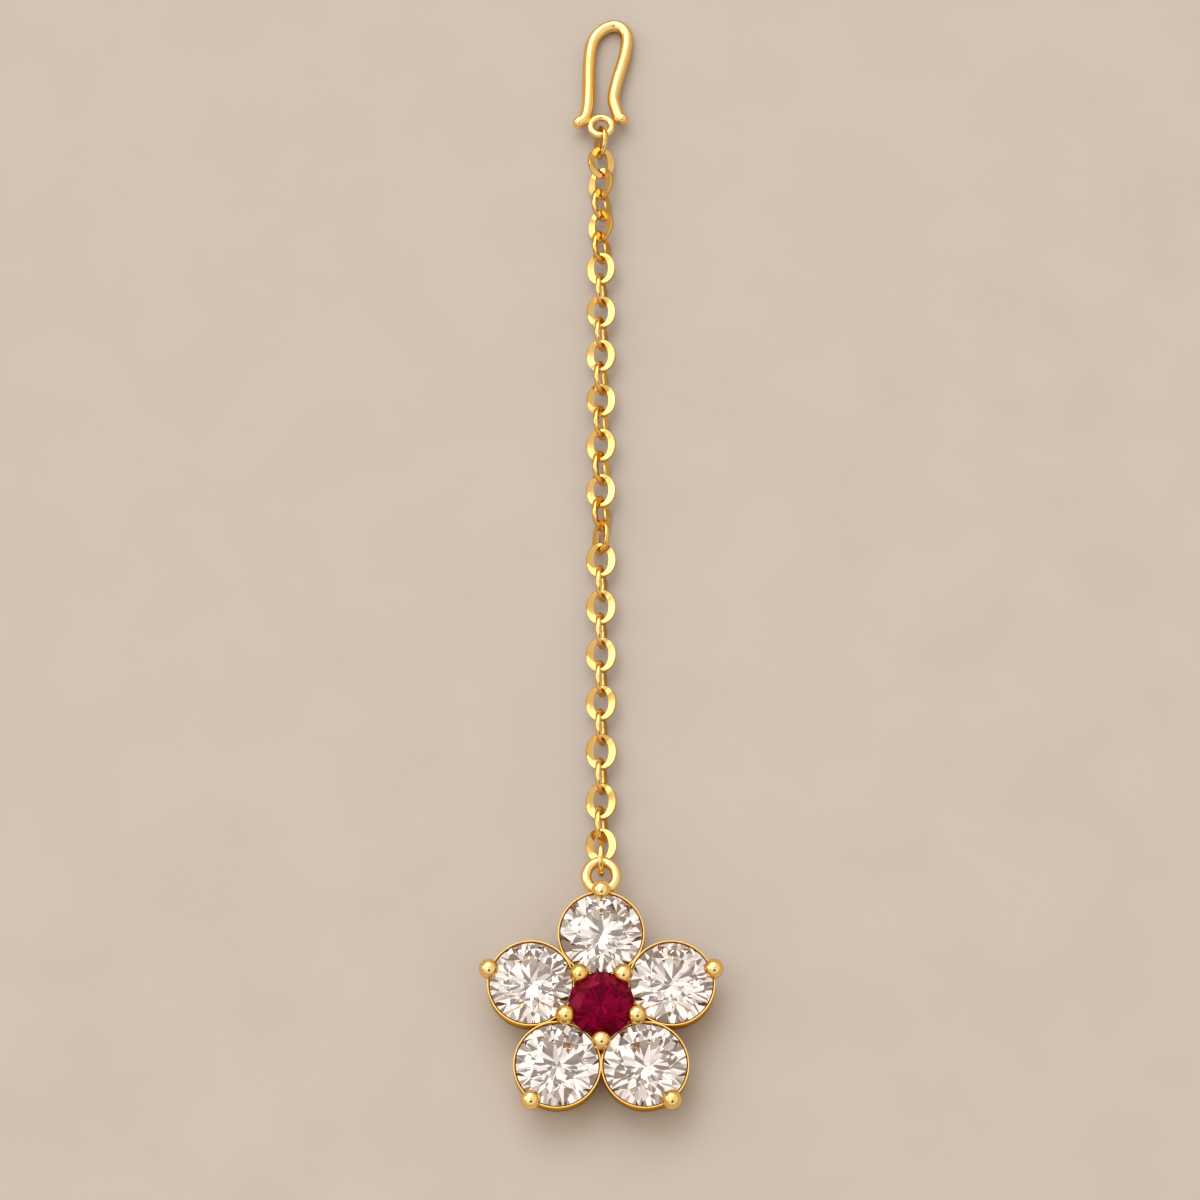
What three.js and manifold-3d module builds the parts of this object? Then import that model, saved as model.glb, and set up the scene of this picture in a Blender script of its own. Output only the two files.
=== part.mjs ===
// A maang tikka, the jewel worn on the parting of the hair: a hook, a fine cable chain and a flower of
// five round brilliants round a ruby. It lies on its back on a flat surface, chain pulled out straight.
// Millimetres, +Z up. The chain runs along Y, with the hook towards +Y and the flower towards -Y.
import * as THREE from "three";
import { mergeVertices } from "three/addons/utils/BufferGeometryUtils.js";
import Module from "manifold-3d";

const wasm = await Module();
wasm.setup();

// Stones
const DIAMOND_DIAMETER = 8;
const RUBY_DIAMETER = 6.4;
const TABLE_SHARE = 0.56; // of the diameter, as the next four
const CROWN_SHARE = 0.15;
const GIRDLE_SHARE = 0.025;
const PAVILION_SHARE = 0.43;
const STAR_SHARE = 0.5; // of the way from the table to the girdle
const LOWER_HALF_SHARE = 0.8; // of the way from the girdle to the culet
const STONE_PLAY = 0.06; // between a stone and the metal round it

// Setting
const COLLETS = 5;
const COLLET_WALL = 0.2;
const COLLET_LIP = 0.1; // how far the rim stands over the girdle
const COLLET_BAND = 1.5; // the upright part of the wall
const COLLET_BASE_DIAMETER = 6;
const BASE_WALL = 0.45;
const SEAT_WIDTH = 0.35;
const CULET_CLEARANCE = 0.35; // the stone's point over the surface
const SOLDER_BITE = 0.1; // how deep soldered pieces run into each other
const BACK_RING_THICKNESS = 0.6;
const CUP_WALL = 0.4;
const CUP_BASE_DIAMETER = 3.6;

// Prongs, one at each petal's tip and one in each notch between two petals
const PRONG_DIAMETER = 0.84;
const NOTCH_PRONG_DIAMETER = 1;
const BEAD_DIAMETER = 1.93;
const BEAD_RISE = 0.3; // the bead's centre over the girdle
const PRONG_NOTCH = 0.06; // how deep a notch prong is cut for the ruby
const TIP_PRONG_OVERHANG = 0.02; // the tip prong's axis outside the collet's wall
const PRONG_FOOT = 0.3;

// Bail ring, soldered behind the top petal
const BAIL_DIAMETER = 4.02;
const BAIL_WIRE = 1.04;
const BAIL_BITE = 0.18;
const BAIL_HEIGHT = 3;

// Chain
const LINK_LENGTH = 3.89;
const LINK_WIDTH = 3.12;
const LINK_END_WIRE = 0.55; // the wire's width at the link's two ends
const LINK_SIDE_WIRE = 0.8; // and along its sides
const LINK_THICKNESS = 0.58;
const LINK_FLAT_SHARE = 0.5; // of the wire's width that is cut flat
const LINK_PLAY = 0.157;

// Each link's roll about the chain, in degrees. 0 lies flat, 90 stands upright, and a positive roll
// lifts its left leg. The first is at the hook.
const LINK_ROLLS = [
  -70, 24, -36, 54, -34, 57, -6, 76, 3, 72, -5, 69, 4, 65, -5, 61, -4, 58, -62, 0, 77, -3, 77, -2, 76,
  -5, 76, 1, 76, -5, 74, 3, 88,
];

// The last links climb from the surface to the bail ring and are pushed together. For each one, its
// slope in degrees, how far it slides into the ring or link before it, as a share of the free room
// there, and how far it hangs below that one's middle, as a share of its own hole's half width.
const CLIMB = new Map([
  [32, { slope: 12, slack: 0.2, drop: 0.21 }],
  [31, { slope: 12, slack: 0.7, drop: 0.58 }],
  [30, { slope: 4, slack: 0.2, drop: 0 }],
  [29, { slope: 0, slack: 0.12, drop: 0 }],
]);

// Hook
const HOOK_LENGTH = 13.6; // from the eye's centre to the wire's centre at the bend
const HOOK_LEAN = 2.9; // how far the bend swings to the free leg's side
const HOOK_WIRE = 1.34;
const EYE_DIAMETER = 3.1;
const EYE_WIRE = 0.78;
const SPRING_GAP = 0.14; // between the eye and the free leg
const SOLDER_ANGLE = 148; // degrees round the eye, where the shank is soldered
const SPRING_ANGLE = 33;
const TOE_FLARE = 0.66;
const TOE_DROP = 0.62;

// The hook's centre line between the shank's solder point and the free leg, as shares of the lean
// (across) and of the length (along)
const HOOK_LINE = [
  { across: -0.51, along: 0.2 },
  { across: -0.48, along: 0.38 },
  { across: -0.47, along: 0.57 },
  { across: -0.43, along: 0.72 },
  { across: -0.32, along: 0.84 },
  { across: -0.12, along: 0.92 },
  { across: 0.17, along: 0.975 },
  { across: 0.5, along: 1 },
  { across: 0.8, along: 0.975 },
  { across: 0.98, along: 0.91 },
  { across: 1, along: 0.83 },
  { across: 0.94, along: 0.73 },
  { across: 0.79, along: 0.59 },
  { across: 0.64, along: 0.47 },
  { across: 0.52, along: 0.35 },
  { across: 0.485, along: 0.25 },
];

// How finely each round piece is cut into flats
const COLLET_SIDES = 24;
const CUP_SIDES = 20;
const RING_SIDES = 20;
const RING_WIRE_SIDES = 8;
const LINK_STEPS = 12;
const HOOK_STEPS = 40;
const PRONG_SIDES = 8;
const BEAD_SIDES = 12;
const BEAD_BANDS = 8;
const BRILLIANT_SIDES = 8;

const GOLD = new THREE.MeshStandardMaterial({ color: 0xe0aa3e, roughness: 0.16, metalness: 1 });
const DIAMOND = new THREE.MeshStandardMaterial({ color: 0xf4efe9, roughness: 0.02, metalness: 0 });
const RUBY = new THREE.MeshStandardMaterial({ color: 0x9c0838, roughness: 0.04, metalness: 0 });

const radians = THREE.MathUtils.degToRad;

// A geometry as a manifold solid
function solidOf(geometry) {
  const bare = geometry.clone();
  bare.deleteAttribute("normal");
  bare.deleteAttribute("uv");
  const merged = mergeVertices(bare, 1e-4);
  return new wasm.Manifold(
    new wasm.Mesh({
      numProp: 3,
      vertProperties: merged.attributes.position.array,
      triVerts: new Uint32Array(merged.index.array),
    }),
  );
}

// A manifold solid as a geometry
function geometryOf(solid) {
  const { vertProperties, triVerts } = solid.getMesh();
  const geometry = new THREE.BufferGeometry();
  geometry.setAttribute("position", new THREE.BufferAttribute(vertProperties, 3));
  geometry.setIndex(new THREE.BufferAttribute(triVerts, 1));
  geometry.computeVertexNormals();
  return geometry;
}

function namedMesh(name, geometry, material) {
  const mesh = new THREE.Mesh(geometry, material);
  mesh.name = name;
  return mesh;
}

// A point at an angle from +Y, turning towards -X, at a distance from the axis
function round(angle, distance, z) {
  return new THREE.Vector3(-distance * Math.sin(angle), distance * Math.cos(angle), z);
}

// The heights of a brilliant's parts above its girdle's lower edge
function brilliantSizes(diameter) {
  const radius = diameter / 2;
  const girdle = diameter * GIRDLE_SHARE;
  const crown = diameter * CROWN_SHARE;
  return { radius, girdle, crown, table: girdle + crown, culet: -diameter * PAVILION_SHARE };
}

// A round brilliant on the lower edge of its girdle. Grow moves its facets out by about that much, for
// the seat that is cut for it.
function brilliant(diameter, grow = 0) {
  const size = brilliantSizes(diameter);
  const slope = Math.atan2(-size.culet, size.radius);
  const radius = size.radius + grow;
  const tableRadius = (diameter / 2) * TABLE_SHARE + grow;
  const culet = size.culet - grow / Math.cos(slope);
  const table = size.table + grow;
  const half = Math.PI / BRILLIANT_SIDES;
  const crownSlope = (table - size.girdle) / (radius - tableRadius);
  const starRadius = THREE.MathUtils.lerp(tableRadius * Math.cos(half), radius, STAR_SHARE);
  const starHeight = table - (starRadius * Math.cos(half) - tableRadius) * crownSlope;
  const lowerRadius = radius * (1 - LOWER_HALF_SHARE);
  const lowerHeight = culet * (1 - (lowerRadius * Math.cos(half)) / radius);

  const points = [];
  const ring = (distance, z, count, turn) => {
    const first = points.length;
    for (let i = 0; i < count; i++) points.push(round(turn + (2 * Math.PI * i) / count, distance, z));
    return (i) => first + (i % count);
  };
  const tableAt = ring(tableRadius, table, BRILLIANT_SIDES, 0);
  const starAt = ring(starRadius, starHeight, BRILLIANT_SIDES, half);
  const upperAt = ring(radius, size.girdle, 2 * BRILLIANT_SIDES, 0);
  const lowerAt = ring(radius, 0, 2 * BRILLIANT_SIDES, 0);
  const halfAt = ring(lowerRadius, lowerHeight, BRILLIANT_SIDES, half);
  const culetAt = points.push(new THREE.Vector3(0, 0, culet)) - 1;

  const faces = [];
  for (let i = 1; i < BRILLIANT_SIDES - 1; i++) faces.push([tableAt(0), tableAt(i), tableAt(i + 1)]);
  for (let i = 0; i < BRILLIANT_SIDES; i++) {
    const main = 2 * i;
    const next = main + 2;
    const before = starAt(i + BRILLIANT_SIDES - 1);
    faces.push([tableAt(i), starAt(i), tableAt(i + 1)]);
    faces.push([tableAt(i), before, upperAt(main)], [tableAt(i), upperAt(main), starAt(i)]);
    faces.push([starAt(i), upperAt(main), upperAt(main + 1)]);
    faces.push([starAt(i), upperAt(main + 1), upperAt(next)]);
    for (const side of [main, main + 1]) {
      faces.push([upperAt(side), lowerAt(side), lowerAt(side + 1)]);
      faces.push([upperAt(side), lowerAt(side + 1), upperAt(side + 1)]);
      faces.push([lowerAt(side), halfAt(i), lowerAt(side + 1)]);
    }
    faces.push([lowerAt(main), culetAt, halfAt(i)]);
    faces.push([lowerAt(main), halfAt(i + BRILLIANT_SIDES - 1), culetAt]);
  }
  const geometry = new THREE.BufferGeometry().setFromPoints(points);
  geometry.setIndex(faces.flat());
  return geometry;
}

// A straight round rod between two points
function rod(from, to, diameter, sides) {
  const along = new THREE.Vector3().subVectors(to, from);
  const geometry = new THREE.CylinderGeometry(diameter / 2, diameter / 2, along.length(), sides);
  const turn = new THREE.Quaternion().setFromUnitVectors(new THREE.Vector3(0, 1, 0), along.normalize());
  geometry.applyQuaternion(turn);
  const middle = new THREE.Vector3().addVectors(from, to).multiplyScalar(0.5);
  return geometry.translate(middle.x, middle.y, middle.z);
}

// A solid turned about Z from a closed outline of [radius, height], drawn down its outside and up its
// inside
function turned(outline, sides) {
  const profile = [...outline, outline[0]].map(([radius, height]) => new THREE.Vector2(radius, height));
  return new THREE.LatheGeometry(profile.reverse(), sides).rotateX(Math.PI / 2);
}

// The stones' places
const diamond = brilliantSizes(DIAMOND_DIAMETER);
const ruby = brilliantSizes(RUBY_DIAMETER);
const colletInner = (diamond.radius + STONE_PLAY) / Math.cos(Math.PI / COLLET_SIDES);
const colletOuter = colletInner + COLLET_WALL;
const colletBase = COLLET_BASE_DIAMETER / 2;
const petalTurn = (2 * Math.PI) / COLLETS;
const petalDistance = (colletOuter - SOLDER_BITE / 2) / Math.sin(petalTurn / 2);
const diamondHeight = CULET_CLEARANCE - diamond.culet;
const rimHeight = diamondHeight + diamond.girdle + COLLET_LIP;
const bandFoot = rimHeight - COLLET_BAND;
const pavilionSlope = -ruby.culet / ruby.radius;
const rubyOverhang = Math.max(0, ruby.radius + STONE_PLAY - (petalDistance - colletOuter));
const rubyHeight = rimHeight + STONE_PLAY + rubyOverhang * pavilionSlope;
const chainHeight = LINK_WIDTH / 2;
const tipDistance = colletOuter + TIP_PRONG_OVERHANG;
const notchDistance = ruby.radius + NOTCH_PRONG_DIAMETER / 2 - PRONG_NOTCH;

// The radius of a collet's outside at a height
function colletRadius(height) {
  const share = THREE.MathUtils.clamp(height / bandFoot, 0, 1);
  return THREE.MathUtils.lerp(colletBase, colletOuter, share);
}

// One petal's collet, about its own axis: a lip round the girdle, a seat under it and an open back
function collet() {
  const seatInner = colletInner - SEAT_WIDTH;
  const slope = -diamond.culet / diamond.radius;
  const seatTop = diamondHeight - STONE_PLAY / Math.cos(Math.atan(slope));
  return turned(
    [
      [colletOuter, rimHeight],
      [colletOuter, bandFoot],
      [colletBase, 0],
      [colletBase - BASE_WALL, 0],
      [seatInner, seatTop - (colletInner - seatInner) * slope - COLLET_WALL],
      [seatInner, seatTop - (colletInner - seatInner) * slope],
      [colletInner, seatTop],
      [colletInner, rimHeight],
    ],
    COLLET_SIDES,
  );
}

// The cup under the ruby, which runs down to the back between the five collets
function cup() {
  const outer = petalDistance - colletOuter + SOLDER_BITE;
  const base = CUP_BASE_DIAMETER / 2;
  const seat = rubyHeight - (ruby.radius - outer + CUP_WALL) * pavilionSlope;
  return turned(
    [
      [outer, seat],
      [outer, bandFoot],
      [base, 0],
      [base - CUP_WALL, 0],
      [outer - CUP_WALL, bandFoot],
      [outer - CUP_WALL, seat],
    ],
    CUP_SIDES,
  );
}

// The flat ring on the back that ties the cup, the notch prongs and the collets together
function backRing() {
  const inner = CUP_BASE_DIAMETER / 2 - CUP_WALL;
  const outer = petalDistance - colletBase + BASE_WALL;
  return turned(
    [
      [outer, BACK_RING_THICKNESS],
      [outer, 0],
      [inner, 0],
      [inner, BACK_RING_THICKNESS],
    ],
    CUP_SIDES,
  );
}

function bead(at) {
  const ball = new THREE.SphereGeometry(BEAD_DIAMETER / 2, BEAD_SIDES, BEAD_BANDS).rotateX(Math.PI / 2);
  return ball.translate(at.x, at.y, at.z);
}

// The prong at a petal's tip, about the petal's own axis: it leans in along the collet
function tipProng() {
  const top = round(0, tipDistance, diamondHeight + diamond.girdle + BEAD_RISE);
  const foot = round(0, colletBase, PRONG_FOOT);
  return [rod(foot, top, PRONG_DIAMETER, PRONG_SIDES), bead(top)];
}

// The prong in the notch before a petal, about the flower's axis
function notchProng(angle) {
  const top = round(angle, notchDistance, rubyHeight + ruby.girdle + BEAD_RISE);
  const foot = round(angle, notchDistance, PRONG_FOOT);
  return [rod(foot, top, NOTCH_PRONG_DIAMETER, PRONG_SIDES), bead(top)];
}

// The bail ring's centre, as a distance beyond the top petal's axis
const bailDistance = colletRadius(BAIL_HEIGHT) + BAIL_DIAMETER / 2 - BAIL_BITE;

function bail() {
  const loop = (BAIL_DIAMETER - BAIL_WIRE) / 2;
  const ring = new THREE.TorusGeometry(loop, BAIL_WIRE / 2, RING_WIRE_SIDES, RING_SIDES);
  return ring.translate(0, petalDistance + bailDistance, BAIL_HEIGHT);
}

// The whole soldered setting, about the flower's axis, with seats cut for the stones
function setting() {
  const pieces = [cup(), backRing(), bail()];
  const seats = [brilliant(RUBY_DIAMETER, STONE_PLAY).translate(0, 0, rubyHeight)];
  for (let i = 0; i < COLLETS; i++) {
    const turn = i * petalTurn;
    const place = (geometry) => geometry.translate(0, petalDistance, 0).rotateZ(turn);
    pieces.push(place(collet()), ...tipProng().map(place), ...notchProng(turn + petalTurn / 2));
    seats.push(place(brilliant(DIAMOND_DIAMETER, STONE_PLAY).translate(0, 0, diamondHeight)));
  }
  const metal = wasm.Manifold.union(pieces.map(solidOf));
  const cut = wasm.Manifold.union(seats.map(solidOf));
  return geometryOf(metal.subtract(cut));
}

function pendant() {
  const group = new THREE.Group();
  group.add(namedMesh("setting", setting(), GOLD));
  for (let i = 0; i < COLLETS; i++) {
    const stone = namedMesh(`diamond_${i + 1}`, brilliant(DIAMOND_DIAMETER), DIAMOND);
    const turn = i * petalTurn;
    stone.position.copy(round(turn, petalDistance, diamondHeight));
    stone.rotation.z = turn;
    group.add(stone);
  }
  const middle = namedMesh("ruby", brilliant(RUBY_DIAMETER), RUBY);
  middle.position.z = rubyHeight;
  group.add(middle);
  return group;
}

// A link lying flat, its length along Y. Its wire is six-sided, with a flat cut on both faces, and is
// wider along the sides than at the ends.
function link() {
  const across = (LINK_WIDTH - LINK_SIDE_WIRE) / 2;
  const along = (LINK_LENGTH - LINK_END_WIRE) / 2;
  const flat = LINK_FLAT_SHARE / 2;
  const section = [
    [0.5, 0],
    [flat, 0.5],
    [-flat, 0.5],
    [-0.5, 0],
    [-flat, -0.5],
    [flat, -0.5],
  ];
  const points = [];
  const faces = [];
  for (let step = 0; step < LINK_STEPS; step++) {
    const angle = (2 * Math.PI * step) / LINK_STEPS;
    const outward = new THREE.Vector3(along * Math.cos(angle), across * Math.sin(angle), 0).normalize();
    const centre = new THREE.Vector3(across * Math.cos(angle), along * Math.sin(angle), 0);
    const width = THREE.MathUtils.lerp(LINK_END_WIRE, LINK_SIDE_WIRE, Math.cos(angle) ** 2);
    section.forEach(([out, up], side) => {
      const point = centre.clone().addScaledVector(outward, out * width);
      points.push(point.setZ(up * LINK_THICKNESS));
      const nextSide = (side + 1) % section.length;
      const here = step * section.length;
      const ahead = ((step + 1) % LINK_STEPS) * section.length;
      faces.push([here + side, ahead + side, ahead + nextSide]);
      faces.push([here + side, ahead + nextSide, here + nextSide]);
    });
  }
  const geometry = new THREE.BufferGeometry().setFromPoints(points);
  geometry.setIndex(faces.flat());
  return geometry;
}

// The chain, from the bail ring's centre towards the hook. Each link's near end is placed from the far
// wire of the one before it. Returns the chain's group and where the middle of the hook's eye comes.
function chain(bailAt) {
  const group = new THREE.Group();
  const inner = LINK_LENGTH / 2 - LINK_END_WIRE;
  const reach = LINK_LENGTH / 2 - LINK_END_WIRE / 2;
  const halfHole = LINK_WIDTH / 2 - LINK_SIDE_WIRE;
  const bailInner = BAIL_DIAMETER / 2 - BAIL_WIRE;
  let far = new THREE.Vector3(0, bailAt + bailInner + BAIL_WIRE / 2, BAIL_HEIGHT);
  let farWire = BAIL_WIRE;
  let room = 2 * bailInner - LINK_END_WIRE - 2 * LINK_PLAY;
  for (let i = LINK_ROLLS.length - 1; i >= 0; i--) {
    const { slope, slack, drop } = CLIMB.get(i) ?? { slope: 0, slack: 0, drop: 0 };
    const pitch = -radians(slope);
    const along = new THREE.Vector3(0, Math.cos(pitch), Math.sin(pitch));
    const up = new THREE.Vector3(0, -Math.sin(pitch), Math.cos(pitch));
    const back = (farWire + LINK_END_WIRE) / 2 + LINK_PLAY + slack * room;
    const one = namedMesh(`link_${String(i + 1).padStart(2, "0")}`, link(), GOLD);
    one.position.copy(far).addScaledVector(along, reach - back).addScaledVector(up, -drop * halfHole);
    if (!CLIMB.has(i)) one.position.z = chainHeight;
    one.rotation.set(pitch, radians(LINK_ROLLS[i]), 0);
    group.add(one);
    far = one.position.clone().addScaledVector(along, reach);
    farWire = LINK_END_WIRE;
    room = 2 * inner - 2 * LINK_END_WIRE - 2 * LINK_PLAY;
  }
  const eyeInner = EYE_DIAMETER / 2 - EYE_WIRE;
  return { group, end: far.y - LINK_END_WIRE / 2 - LINK_PLAY + eyeInner };
}

// The hook, with the middle of its eye at the origin
function hook() {
  const reach = EYE_DIAMETER / 2 + HOOK_WIRE / 2;
  const polar = (degrees, distance) =>
    new THREE.Vector3(Math.cos(radians(degrees)), Math.sin(radians(degrees)), 0).multiplyScalar(distance);
  const solder = polar(SOLDER_ANGLE, reach - SOLDER_BITE);
  const spring = polar(SPRING_ANGLE, reach + SPRING_GAP);
  const line = new THREE.CatmullRomCurve3([
    solder.clone().add(new THREE.Vector3(-TOE_FLARE, -TOE_DROP, 0)),
    solder,
    ...HOOK_LINE.map(({ across, along }) => new THREE.Vector3(across * HOOK_LEAN, along * HOOK_LENGTH, 0)),
    spring,
    spring.clone().add(new THREE.Vector3(TOE_FLARE / 2, -TOE_DROP / 2, 0)),
  ]);
  const section = new THREE.Shape();
  section.absarc(0, 0, HOOK_WIRE / 2, 0, 2 * Math.PI);
  const wire = new THREE.ExtrudeGeometry(section, {
    steps: HOOK_STEPS,
    extrudePath: line,
    curveSegments: RING_WIRE_SIDES / 2,
  });
  const toes = [0, 1].map((end) => {
    const at = line.getPoint(end);
    const ball = new THREE.SphereGeometry(HOOK_WIRE / 2, BEAD_SIDES, BEAD_BANDS);
    return ball.translate(at.x, at.y, at.z);
  });
  const loop = (EYE_DIAMETER - EYE_WIRE) / 2;
  const eye = new THREE.TorusGeometry(loop, EYE_WIRE / 2, RING_WIRE_SIDES, RING_SIDES);
  return geometryOf(wasm.Manifold.union([wire, eye, ...toes].map(solidOf)));
}

const tikka = new THREE.Group();
tikka.add(pendant());
const cable = chain(petalDistance + bailDistance);
tikka.add(cable.group);

// The hook slopes from the chain's height down to the surface at its bend
const hookMesh = namedMesh("hook", hook(), GOLD);
hookMesh.position.set(0, cable.end, chainHeight);
hookMesh.rotation.x = -Math.asin((chainHeight - HOOK_WIRE / 2) / HOOK_LENGTH);
tikka.add(hookMesh);

// The origin is under the middle of the whole jewel, on the surface that it lies on
const extent = new THREE.Box3().setFromObject(tikka, true);
const middle = extent.getCenter(new THREE.Vector3());
tikka.position.set(-middle.x, -middle.y, -extent.min.z);

export default tikka;
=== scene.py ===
"""Maang tikka: the jewel worn on the parting of the hair, lying on a pale surface.

A hook, a fine cable chain and a flower of five round brilliants round a ruby.
"""

import math

import bmesh
import bpy
from bpy.props import FloatProperty, FloatVectorProperty, PointerProperty
from mathutils import Matrix, Vector


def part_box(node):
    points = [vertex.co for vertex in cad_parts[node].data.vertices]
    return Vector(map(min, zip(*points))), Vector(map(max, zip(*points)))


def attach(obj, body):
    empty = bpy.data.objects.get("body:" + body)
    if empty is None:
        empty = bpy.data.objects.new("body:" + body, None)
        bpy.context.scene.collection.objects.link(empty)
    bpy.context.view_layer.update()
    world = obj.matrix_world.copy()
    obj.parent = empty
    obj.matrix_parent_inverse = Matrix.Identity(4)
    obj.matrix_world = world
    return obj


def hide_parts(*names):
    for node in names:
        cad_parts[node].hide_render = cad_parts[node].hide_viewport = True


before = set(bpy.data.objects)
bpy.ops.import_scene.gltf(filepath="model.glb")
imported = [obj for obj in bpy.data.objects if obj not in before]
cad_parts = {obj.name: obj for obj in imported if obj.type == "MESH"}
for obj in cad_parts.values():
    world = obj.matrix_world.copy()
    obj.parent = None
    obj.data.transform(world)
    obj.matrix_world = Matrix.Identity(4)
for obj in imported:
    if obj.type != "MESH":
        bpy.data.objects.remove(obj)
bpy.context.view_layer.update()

bl_info = {
    "name": "Maang Tikka",
    "version": (1, 0, 0),
    "blender": (4, 5, 0),
    "location": "View3D > Sidebar > Tikka",
    "description": "A flower pendant of round brilliants on a fine chain with a hook",
    "category": "Add Mesh",
}

MM = 0.001
PETALS = 5
LINKS = 33
BODY = "root"

# Each link's roll about the chain, in degrees, from the hook. 0 lies flat, 90 stands upright.
LINK_ROLLS = (
    -70, 24, -36, 54, -34, 57, -6, 76, 3, 72, -5, 69, 4, 65, -5, 61, -4, 58, -62, 0, 77, -3, 77, -2, 76,
    -5, 76, 1, 76, -5, 74, 3, 88,
)  # fmt: skip

# The last links climb to the bail ring. Each one's slope, in degrees
LINK_SLOPES = {30: 0.0, 31: 4.0, 32: 12.0, 33: 12.0}

# The hook's centre line, as shares of its lean (across) and of its length (along)
HOOK_LINE = (
    (-0.51, 0.2), (-0.48, 0.38), (-0.47, 0.57), (-0.43, 0.72), (-0.32, 0.84), (-0.12, 0.92),
    (0.17, 0.975), (0.5, 1.0), (0.8, 0.975), (0.98, 0.91), (1.0, 0.83), (0.94, 0.73), (0.79, 0.59),
    (0.64, 0.47), (0.52, 0.35), (0.485, 0.25),
)  # fmt: skip
SOLDER_TURN = math.radians(148.0)  # round the eye, where the shank is soldered
SPRING_TURN = math.radians(33.0)  # round the eye, where the free leg springs against it
EYE_BITE = 0.1 * MM  # how deep the shank runs into the eye

CAP_SHORTFALL = 0.35  # how far short of a point a wire's round end stops, in steps

# Prongs and collets
PRONG_FOOT = 0.3 * MM  # a prong's foot over the surface
PRONG_NOTCH = 0.06 * MM  # how deep a notch prong is cut for the ruby
COLLET_SWELL = 0.12 * MM * 0.4  # how far a collet's tapered wall bulges
COLLET_FLATS = 24  # the solid collets are cut from so many flats, and their corners set the width

# A link's wire. It is an ellipse at a power of 1, and squarer below it
WIRE_POWER = 0.82
# How soon, from a link's ends to its sides, the wire swells, the cut deepens and its slope rises
SWELL_REACH = 1.4
CUT_REACH = 1.3
SLOPE_REACH = 1.2
END_CUT = 0.12  # of the cut's depth, at a link's ends

# A flat link's extra corner: where it lies round the link, how it slopes, and the lowest that it goes
CORNER_TURN = math.radians(204.0)
CORNER_DRIFT = 6.0  # degrees that it moves to and fro from link to link
CORNER_BEAT = 2.4  # how soon it does so, in radians to the link
CORNER_LEAN = Vector((0.16, 0.3, 0))
CORNER_FLOOR = 0.12

# Patterns in the finishes, in patches to the metre
PLATE_PATCHES = 260.0
POLISH_MARKS = 1500.0
POLISH_RIPPLE = 1800.0
STONE_ZONES = 300.0
RUBY_ZONES = 240.0
SURFACE_MOTTLE = 90.0

# Each gold's finish: its lowest and highest roughness, where its deeper patches start, and its painted
# shade, as shares of the gold's red, green and blue. A share under 1 darkens that gold all over as painted
# shade
BEAD_FINISH = (0.07, 0.16, 0.3, (1.0, 1.0, 1.0, 1.0))
# The collets' gold is painted darker than the beads' gold: painted shade on the collets and their rims
COLLET_FINISH_AND_SHADE = (0.1, 0.2, 0.6, (0.88, 0.83, 0.78, 1.0))
# The links' gold is painted darker than the beads' gold: painted shade on the chain
LINK_FINISH_AND_SHADE = (0.08, 0.18, 0.55, (0.82, 0.77, 0.74, 1.0))
HOOK_FINISH = (0.17, 0.27, 0.4, (1.0, 1.0, 1.0, 1.0))
GOLD_EDGE = (0.9, 0.57, 0.17, 1.0)  # the tint of gold seen at a slant
TONE_BLEND = 0.25  # how far the deeper patches take to go over into the gold's own tone
RIPPLE_STRENGTH = 0.012
RIPPLE_HEIGHT = 0.03 * MM

# Stones: how strongly they bend light, and the tint of their surface glint
CLEAR_INDEX = 2.2
CLEAR_GLINT = (0.35, 0.33, 0.32, 1.0)
GIRDLE_PAINTED_SHADE = (0.28, 0.32, 0.4, 1.0)  # painted shade on a clear stone's upright girdle faces, which dims and greys the gold seen through them
RED_INDEX = 1.77
RED_CLEARNESS = 0.85
RED_GLINT = (0.33, 0.018, 0.08, 1.0)


def length(name, description, millimetres):
    return FloatProperty(
        name=name, description=description, default=millimetres * MM, min=0.0, unit="LENGTH", precision=5
    )


def angle_of(name, description, degrees):
    turn = math.radians(degrees)
    return FloatProperty(name=name, description=description, default=turn, subtype="ANGLE")


def share(name, description, value):
    return FloatProperty(name=name, description=description, default=value, min=0.0, max=1.0)


def colour(name, description, value):
    return FloatVectorProperty(
        name=name, description=description, default=value, size=4, subtype="COLOR", min=0.0, max=1.0
    )


class StoneSettings(bpy.types.PropertyGroup):
    diamond_diameter: length("Petal stone", "Diameter of a petal's brilliant", 8.0)
    ruby_diameter: length("Centre stone", "Diameter of the ruby", 6.4)
    table: share("Table", "Table across its corners, of the diameter", 0.56)
    crown: share("Crown", "Crown height, of the diameter", 0.15)
    girdle: share("Girdle", "Girdle thickness, of the diameter", 0.025)
    pavilion: share("Pavilion", "Pavilion depth, of the diameter", 0.43)
    star: share("Star", "How far the stars reach from the table to the girdle", 0.5)
    lower_half: share("Lower halves", "How far the lower halves reach from the girdle to the culet", 0.8)
    play: length("Play", "Clearance between a stone and the metal round it", 0.06)
    diamond_tint: colour("White stone", "Body colour of the white stones", (0.94, 0.875, 0.845, 1.0))
    ruby_tint: colour("Red stone", "Body colour of the ruby", (0.31, 0.0005, 0.031, 1.0))


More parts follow.
